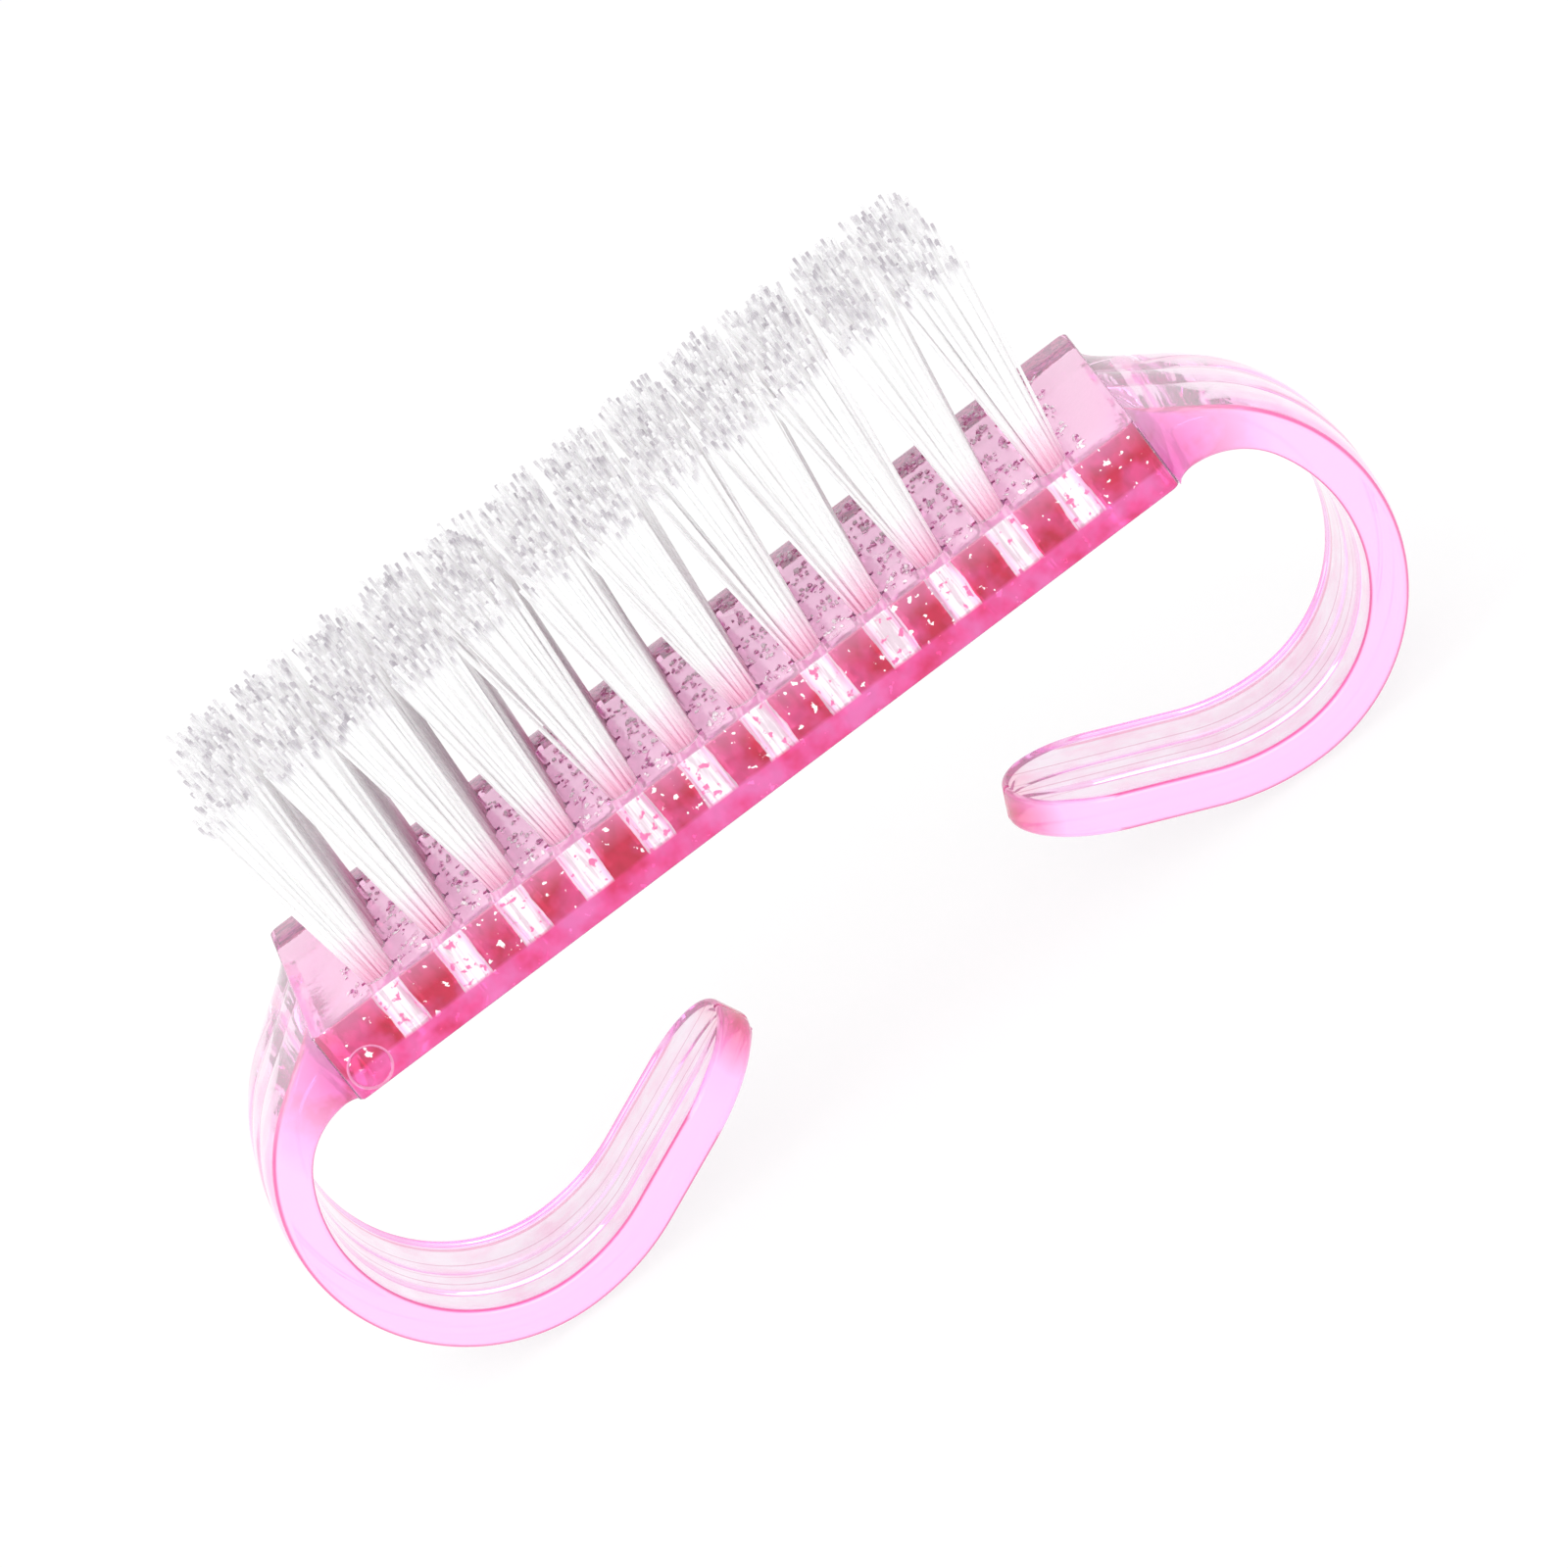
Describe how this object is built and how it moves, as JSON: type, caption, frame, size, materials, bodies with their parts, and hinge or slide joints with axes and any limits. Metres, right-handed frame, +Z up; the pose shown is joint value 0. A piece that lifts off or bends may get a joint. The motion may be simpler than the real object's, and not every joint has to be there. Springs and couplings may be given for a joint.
{
  "type": "nail brush",
  "caption": "Clear pink nail brush: a block with tufts of nylon bristles held by wire anchors, and an open finger loop bent round under each end.",
  "frame": {"origin": "on the surface that the brush stands on, under the middle of the block", "axes": "+X along the block, +Y across it, +Z up out of the bristle face"},
  "size_m": [0.066, 0.017, 0.0336],
  "materials": {
    "clear_pink_plastic": "clear, polished moulding",
    "nylon_bristle": "clear drawn filament, cut ends",
    "anchor_wire": "flat drawn wire"
  },
  "bodies": {
    "root": {"handle_body": "clear_pink_plastic", "tuft_column_01": "nylon_bristle", "tuft_column_02": "nylon_bristle", "tuft_column_03": "nylon_bristle", "tuft_column_04": "nylon_bristle", "tuft_column_05": "nylon_bristle", "tuft_column_06": "nylon_bristle", "tuft_column_07": "nylon_bristle", "tuft_column_08": "nylon_bristle", "tuft_column_09": "nylon_bristle", "tuft_column_10": "nylon_bristle", "tuft_column_11": "nylon_bristle", "tuft_column_12": "nylon_bristle", "anchor_column_01": "anchor_wire", "anchor_column_02": "anchor_wire", "anchor_column_03": "anchor_wire", "anchor_column_04": "anchor_wire", "anchor_column_05": "anchor_wire", "anchor_column_06": "anchor_wire", "anchor_column_07": "anchor_wire", "anchor_column_08": "anchor_wire", "anchor_column_09": "anchor_wire", "anchor_column_10": "anchor_wire", "anchor_column_11": "anchor_wire", "anchor_column_12": "anchor_wire"}
  },
  "joints": []
}
